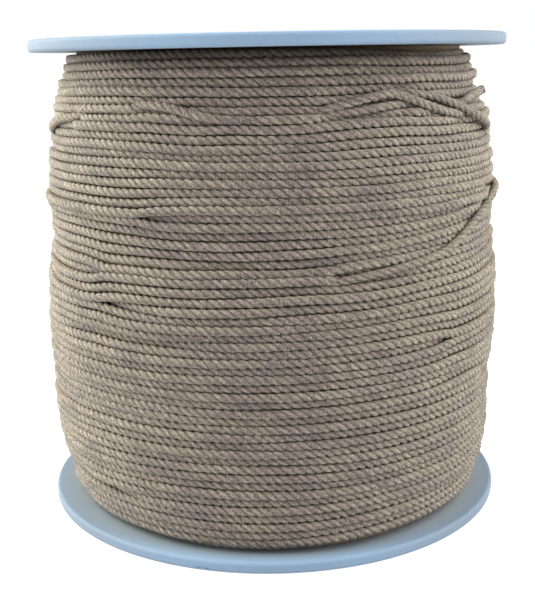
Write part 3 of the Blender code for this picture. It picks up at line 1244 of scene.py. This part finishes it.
@dataclass
class InnerLayer:
    """The layer of turns under the outer one, which shows only through the gaps, darkened
    with painted shade.

    Its outer wall's radius is the outline less 1.12 rope diameters, and less
    0.3 diameters times (1 - |cos(pi z / pitch)|) between its turns."""

    columns: int = 160
    rows_per_turn: int = 4
    depth: float = 1.12 * ROPE_DIAMETER
    ridge: float = 0.30 * ROPE_DIAMETER
    crest_groove_shade: float = 0.55
    valley_groove_shade: float = 0.45

    def build(self, material: bpy.types.Material) -> bpy.types.Object:
        """Makes the layer as a closed ring about the barrel.

        Args:
            material: The rope's material.

        Returns:
            The piece.
        """
        turns = round((WINDING_TOP - WINDING_BOTTOM) / ROPE_DIAMETER)
        rows = turns * self.rows_per_turn + 1
        azimuth = np.arange(self.columns)[None, :] * TAU / self.columns
        height = np.linspace(WINDING_BOTTOM, WINDING_TOP, rows)[:, None]
        between = 1.0 - np.abs(np.cos(math.pi * np.arange(rows) / self.rows_per_turn))[:, None]
        radius = outline_radius(azimuth, height) - self.depth - self.ridge * between
        bore = BARREL_DIAMETER / 2.0 + CLEARANCE
        ends = np.array([WINDING_TOP, WINDING_BOTTOM])[:, None]
        radius = np.concatenate([radius, np.full((2, self.columns), bore)])
        wall, rims = (rows, self.columns), (2, self.columns)
        height = np.concatenate([np.broadcast_to(height, wall), np.broadcast_to(ends, rims)])
        points = around_axis(azimuth, radius, height)
        fibre = np.stack([azimuth * radius, height, np.zeros_like(height)], axis=-1)
        # Painted shade: the layer takes much of the groove's dark colour and the full shelter shade
        groove_shade_and_singe = np.broadcast_to(self.crest_groove_shade + self.valley_groove_shade * between, wall)
        groove_shade_and_singe = np.concatenate([groove_shade_and_singe, np.ones(rims)])
        faces = grid_faces(rows + 2, self.columns, True, True)
        attributes = {
            "fibre": fibre.reshape(-1, 3),
            "groove_shade_and_singe": groove_shade_and_singe.reshape(-1),
            "shelter": np.ones(groove_shade_and_singe.size),
        }
        return add_piece("inner_layer", points.reshape(-1, 3), [faces], material, attributes)


@dataclass
class LooseEnd:
    """The rope's cut end, which pokes out from under a crossing run."""

    rope: RopeForm
    runs: CrossingRuns
    step: float = 0.0008
    route: tuple = (
        Waypoint(-34.6, 0.2156, 0.0018),
        Waypoint(-30.8, 0.2170, 0.0019),
        Waypoint(-27.0, 0.2180, 0.0022),
        Waypoint(-23.2, 0.2188, 0.0027),
        Waypoint(-19.4, 0.2196, 0.0035),
    )
    phase: float = 0.1
    flare: float = 0.07
    flare_span: tuple = (0.86, 1.0)
    singe: float = 1.3
    singe_span: tuple = (0.86, 0.94)
    cut_rings: int = 2
    tuft_fibres: int = 16
    tuft_lengths: tuple = (0.0006, 0.0014)
    tuft_thickness: float = 0.00007
    tuft_spread: float = 0.44
    tuft_lean: float = 0.9
    tuft_disorder: float = 0.25
    tuft_bend: float = 0.35
    root_depth: float = 0.0004
    route_every: int = 3
    seed: int = 5

    def tuft(self, path: np.ndarray, material: bpy.types.Material) -> bpy.types.Object:
        """The fibres that stand out of the cut, which lean away from its middle.

        Args:
            path: The end's middle line.
            material: The fibres' material.

        Returns:
            The piece.
        """
        random = np.random.default_rng(self.seed)
        count = self.tuft_fibres
        heading = unit(path[-1] - path[-2])
        angle = random.uniform(0.0, TAU, count)
        spread = np.sqrt(random.uniform(0.0, 1.0, count)) * self.rope.diameter * self.tuft_spread
        across = unit(np.cross(heading, (0.0, 0.0, 1.0)))
        up = np.cross(across, heading)
        spokes = np.cos(angle)[:, None] * across + np.sin(angle)[:, None] * up
        roots = path[-1] + spread[:, None] * spokes - self.root_depth * heading
        lean = heading + spokes * (spread / self.rope.diameter)[:, None] * self.tuft_lean
        lean = unit(lean + self.tuft_disorder * random.standard_normal((count, 3)))
        lengths = random.uniform(*self.tuft_lengths, count)
        bend = self.tuft_bend * random.standard_normal((count, 3))
        return add_fibres("loose_end_tuft", roots, lean, bend, lengths, self.tuft_thickness, material)

    def build(
        self, hemp: bpy.types.Material, singed: bpy.types.Material, fibre: bpy.types.Material
    ) -> list[bpy.types.Object]:
        """Sweeps the rope along its route, with a slight flare at the singed cut, and
        adds the fibres that stand out of the cut.

        Args:
            hemp: The rope's material.
            singed: The material of the cut.
            fibre: The loose fibres' material.

        Returns:
            The end, its cut and its tuft.
        """
        path, outward = path_and_outward(*self.runs.line(self.route, self.step).T)
        share = np.linspace(0.0, 1.0, len(path))
        swell = 1.0 + self.flare * eased(share, *self.flare_span)
        run = self.rope.swept(path, outward, swell, phase=self.phase)
        # The cut's singe takes the groove's dark colour, which on the rest of the rope is painted shade
        run.groove_shade_and_singe = np.maximum(run.groove_shade_and_singe, self.singe * eased(share, *self.singe_span)[:, None])
        last = len(path) - 1
        end = run.piece("loose_rope_end", 0, last - self.cut_rings, hemp)
        cut = run.piece("loose_end_cut", last - self.cut_rings, last, singed)
        tuft = self.tuft(path, fibre)
        LOG.info("loose end: %.4f m", self.length(path))
        self.length(path)
        return [end, cut, tuft]

    @staticmethod
    def length(path: np.ndarray) -> float:
        """The length of a line of points."""
        return float(np.linalg.norm(np.diff(path, axis=0), axis=1).sum())


def add_fibres(
    name: str,
    roots: np.ndarray,
    lean: np.ndarray,
    bend: np.ndarray,
    lengths: np.ndarray,
    thickness: float,
    material: bpy.types.Material,
) -> bpy.types.Object:
    """Many short fibres as one mesh: each a three-sided tube on the curve
    root + length (t lean + t^2 bend), which narrows towards its tip.

    Args:
        name: The object's name.
        roots: Where each fibre starts.
        lean: The direction in which it starts.
        bend: How it curves away.
        lengths: How long each is.
        thickness: Its diameter at the root.
        material: The fibres' material.

    Returns:
        The piece.
    """
    share = np.array(FIBRE_SHARES)
    width = np.array(FIBRE_WIDTHS) * thickness / 2.0
    count, rings, sides = len(roots), len(share), FIBRE_SIDES
    curve = share[:, None] * lean[:, None, :] + (share**2)[:, None] * bend[:, None, :]
    line = roots[:, None, :] + lengths[:, None, None] * curve
    helper = np.where(np.abs(lean[:, 2:3]) < UPRIGHT, [[0.0, 0.0, 1.0]], [[1.0, 0.0, 0.0]])
    across = unit(np.cross(lean, helper))
    upward = np.cross(lean, across)
    angle = np.arange(sides) * TAU / sides
    spokes = np.cos(angle)[:, None] * across[:, None, :] + np.sin(angle)[:, None] * upward[:, None, :]
    points = line[:, :, None, :] + width[None, :, None, None] * spokes[:, None, :, :]
    walls = grid_faces(rings, sides, False, True)
    tip = sides * (rings - 1)
    caps = np.array([[2, 1, 0], [tip, tip + 1, tip + 2]])
    shift = (np.arange(count) * rings * sides)[:, None, None]
    faces = [(walls[None] + shift).reshape(-1, 4), (caps[None] + shift).reshape(-1, 3)]
    return add_piece(name, points.reshape(-1, 3), faces, material)


@dataclass
class StrayFibres:
    """Fine fibres that stand out of the rope all over the bundle."""

    count: int = 2600
    seed: int = 41
    thickness: float = 0.00008
    shortest: float = 0.0006
    longest: float = 0.0030
    length_power: float = 2.5
    root_depth: float = 0.0001
    tries_each: int = 4
    outer_side: float = 0.35
    lean_away: float = 0.75
    lean_along: float = 0.9
    disorder: float = 0.35
    bend_size: float = 0.35
    bend_outward: float = 0.1

    def build(self, run: RopeRun, material: bpy.types.Material) -> bpy.types.Object:
        """Plants fibres at random points of the rope's outer side.

        Args:
            run: The rope on the outside of the bundle.
            material: The fibres' material.

        Returns:
            The piece.
        """
        random = np.random.default_rng(self.seed)
        tries = self.tries_each * self.count
        ring = random.integers(0, len(run.path) - 1, tries)
        corner = random.integers(0, run.rings.shape[1], tries)
        roots = run.rings[ring, corner]
        middle = run.path[ring]
        away = unit(roots - middle)
        radial = unit(middle * np.array([1.0, 1.0, 0.0]))
        outer = np.flatnonzero((away * radial).sum(axis=1) > self.outer_side)[: self.count]
        ring, roots, away, radial = ring[outer], roots[outer], away[outer], radial[outer]
        tangent = unit(run.path[ring + 1] - run.path[ring])
        chance = random.standard_normal((len(outer), 3))
        sign = np.where(random.uniform(size=len(outer)) < 0.5, -1.0, 1.0)[:, None]
        lean = unit(self.lean_away * away + self.lean_along * sign * tangent + self.disorder * chance)
        bend = self.bend_size * random.standard_normal((len(outer), 3)) + self.bend_outward * radial
        span = self.longest - self.shortest
        lengths = self.shortest + span * random.uniform(0.0, 1.0, len(outer)) ** self.length_power
        roots = roots - self.root_depth * away
        return add_fibres("stray_fibres", roots, lean, bend, lengths, self.thickness, material)


@dataclass
class Flange:
    """One moulded flange. The lower one carries the barrel that the rope is wound on.

    It is a turned shape: each point of the profile is carried round the axis."""

    side: Side
    segments: int = 256
    rim_rounding: float = 0.0018
    hub_ring_width: float = 0.008
    rim_ring_width: float = 0.012
    face_rings: tuple = (0.020, 0.008)
    panel_depth: float = 0.0012
    hole_chamfer: float = 0.0008
    arc_steps: int = 10
    crisp_degrees: float = 38.0

    def arc(self, radius: float, height: float, reach: float, first: float, last: float) -> list[tuple]:
        """Profile points round (radius, height), between two angles in degrees."""
        angles = np.radians(np.linspace(first, last, self.arc_steps + 1))
        return list(zip(radius + reach * np.cos(angles), height + reach * np.sin(angles)))

    def profile(self) -> np.ndarray:
        """The closed profile of radius and height, which runs up its inner side and
        down its outer side, measured from the outer face towards the rope.

        Returns:
            A row of radius and height for each point.
        """
        hole = SPINDLE_HOLE_DIAMETER / 2.0
        rim = FLANGE_DIAMETER / 2.0
        thick = FLANGE_THICKNESS
        chamfer = self.hole_chamfer
        round_middle = rim - self.rim_rounding
        slope = self.panel_depth
        points = [
            (hole, chamfer),
            (hole, thick - chamfer),
            (hole + chamfer, thick),
        ]
        if self.side is Side.LOWER:
            barrel = BARREL_DIAMETER / 2.0
            top = thick + FLANGE_SPACING - CLEARANCE
            inner = barrel - BARREL_WALL
            points += [(inner, thick), (inner, top - chamfer), (inner + chamfer, top)]
            points += [(barrel - chamfer, top), (barrel, top - chamfer), (barrel, thick)]
        points += [(rim - inwards, thick) for inwards in self.face_rings]
        points += self.arc(round_middle, thick - self.rim_rounding, self.rim_rounding, 90.0, 0.0)
        points += self.arc(round_middle, self.rim_rounding, self.rim_rounding, 0.0, -90.0)
        points += [
            (rim - self.rim_ring_width, 0.0),
            (rim - self.rim_ring_width - slope, slope),
            (hole + self.hub_ring_width + slope, slope),
            (hole + self.hub_ring_width, 0.0),
            (hole + chamfer, 0.0),
        ]
        return np.array(points)

    def build(self, material: bpy.types.Material) -> bpy.types.Object:
        """Carries the profile round the axis.

        Args:
            material: The plastic.

        Returns:
            The piece.
        """
        profile = self.profile()
        if self.side is Side.UPPER:
            overall = 2.0 * FLANGE_THICKNESS + FLANGE_SPACING
            profile = (profile * (1.0, -1.0) + (0.0, overall))[::-1]
        azimuth = np.arange(self.segments)[:, None] * TAU / self.segments
        points = around_axis(azimuth, profile[None, :, 0], profile[None, :, 1])
        faces = grid_faces(self.segments, len(profile), True, True)
        name = f"{self.side.name.lower()}_flange_moulding"
        piece = add_piece(name, points.reshape(-1, 3), [faces], material)
        piece.data.set_sharp_from_angle(angle=math.radians(self.crisp_degrees))
        return piece


class Softbox(NamedTuple):
    """An area light: its name, place, width and height, power in watts, and colour."""

    name: str
    place: tuple[float, float, float]
    size: tuple[float, float]
    power: float
    colour: tuple[float, float, float]


@dataclass
class Studio:
    """The floor, the lights and the camera."""

    camera_distance: float = 0.5680
    camera_height: float = 0.2368
    tilt_degrees: float = 13.235
    roll_degrees: float = 1.06
    pan_degrees: float = -0.21
    lens: float = 61.6
    sensor: float = 36.0
    floor_size: float = 6.0
    aim: tuple = (0.0, 0.0, 0.12)
    softboxes: tuple = (
        Softbox("left_softbox", (-1.05, 0.12, 0.76), (1.3, 1.3), 71.0, (1.0, 1.0, 0.84)),
        Softbox("right_softbox", (1.05, -0.12, 0.76), (1.3, 1.3), 44.0, (1.0, 1.0, 0.86)),
    )

    def add_camera(self) -> None:
        """Places the camera as it stood for the photograph: its axes are the view's
        right, up and backward directions, turned by the roll."""
        degrees = (self.tilt_degrees, self.roll_degrees, self.pan_degrees)
        tilt, roll, pan = (math.radians(value) for value in degrees)
        level = Vector((math.sin(pan), math.cos(pan), 0.0))
        right = Vector((math.cos(pan), -math.sin(pan), 0.0))
        ahead = level * math.cos(tilt) - Vector((0.0, 0.0, math.sin(tilt)))
        up = level * math.sin(tilt) + Vector((0.0, 0.0, math.cos(tilt)))
        rolled_right = right * math.cos(roll) - up * math.sin(roll)
        rolled_up = right * math.sin(roll) + up * math.cos(roll)
        axes = Matrix((rolled_right, rolled_up, -ahead)).transposed().to_4x4()
        data = bpy.data.cameras.new("camera")
        data.sensor_fit = "VERTICAL"
        data.sensor_height = self.sensor
        data.lens = self.lens
        camera = bpy.data.objects.new("camera", data)
        place = Vector((0.0, -self.camera_distance, self.camera_height))
        camera.matrix_world = Matrix.Translation(place) @ axes
        bpy.context.scene.collection.objects.link(camera)
        bpy.context.scene.camera = camera

    def add_softbox(self, softbox: Softbox) -> None:
        """An area light that faces the reel.

        Args:
            softbox: Its place, size, power and colour.
        """
        data = bpy.data.lights.new(softbox.name, "AREA")
        data.shape = "RECTANGLE"
        data.size, data.size_y = softbox.size
        data.energy = softbox.power
        data.color = softbox.colour
        light = bpy.data.objects.new(softbox.name, data)
        light.location = softbox.place
        towards = Vector(self.aim) - Vector(softbox.place)
        light.rotation_euler = towards.to_track_quat("-Z", "Y").to_euler()
        bpy.context.scene.collection.objects.link(light)

    def build(self) -> None:
        """Adds the floor, the white sky and the softboxes, and shows colours as they are."""
        half = self.floor_size / 2.0
        corners = np.array([(-1.0, -1.0, 0.0), (1.0, -1.0, 0.0), (1.0, 1.0, 0.0), (-1.0, 1.0, 0.0)])
        face = np.arange(len(corners))[None, :]
        floor = add_piece("floor", half * corners, [face], FloorFinish("floor").material())
        world = bpy.data.worlds.new("studio")
        world.use_nodes = True
        background = world.node_tree.nodes["Background"]
        background.inputs["Color"].default_value = (1.0, 1.0, 1.0, 1.0)
        background.inputs["Strength"].default_value = 1.0
        bpy.context.scene.world = world
        for softbox in self.softboxes:
            self.add_softbox(softbox)
        bpy.context.scene.view_settings.view_transform = "Standard"


def main() -> None:
    """Builds the pieces in order, ties them to the frame and reports them."""
    logging.basicConfig(level=logging.INFO, format="%(message)s")
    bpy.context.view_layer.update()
    studio = Studio()
    studio.add_camera()
    rope = RopeForm()
    runs = CrossingRuns(rope)
    hemp = HempFinish("hemp_rope").material()
    dark, light = (0.003, 0.003, 0.003, 1.0), (0.012, 0.011, 0.011, 1.0)
    singed = HempFinish("singed_hemp", fibre=dark, pale_fibre=light, grey_fibre=dark).material()
    loose_fibre = FibreFinish("hemp_fibre").material()
    plastic = PlasticFinish("pale_plastic").material()

    loose_end = LooseEnd(rope, runs).build(hemp, singed, loose_fibre)
    bands, wound = Winding(rope, runs).build(hemp)
    crossing = runs.build(hemp)
    inner = InnerLayer().build(hemp)
    stray = StrayFibres().build(wound, loose_fibre)
    flanges = {side: Flange(side).build(plastic) for side in Side}
    studio.build()

    hemp_pieces = [*loose_end, *bands, *crossing, inner, stray]
    for piece in hemp_pieces:
        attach(piece, BODY)
    for piece in flanges.values():
        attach(piece, BODY)
    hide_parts("loose_end")
    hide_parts("winding")
    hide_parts("lower_flange")
    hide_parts("upper_flange")
    for piece in [*hemp_pieces, *flanges.values()]:
        LOG.info("piece %s", piece.name)


if __name__ == "__main__":
    main()
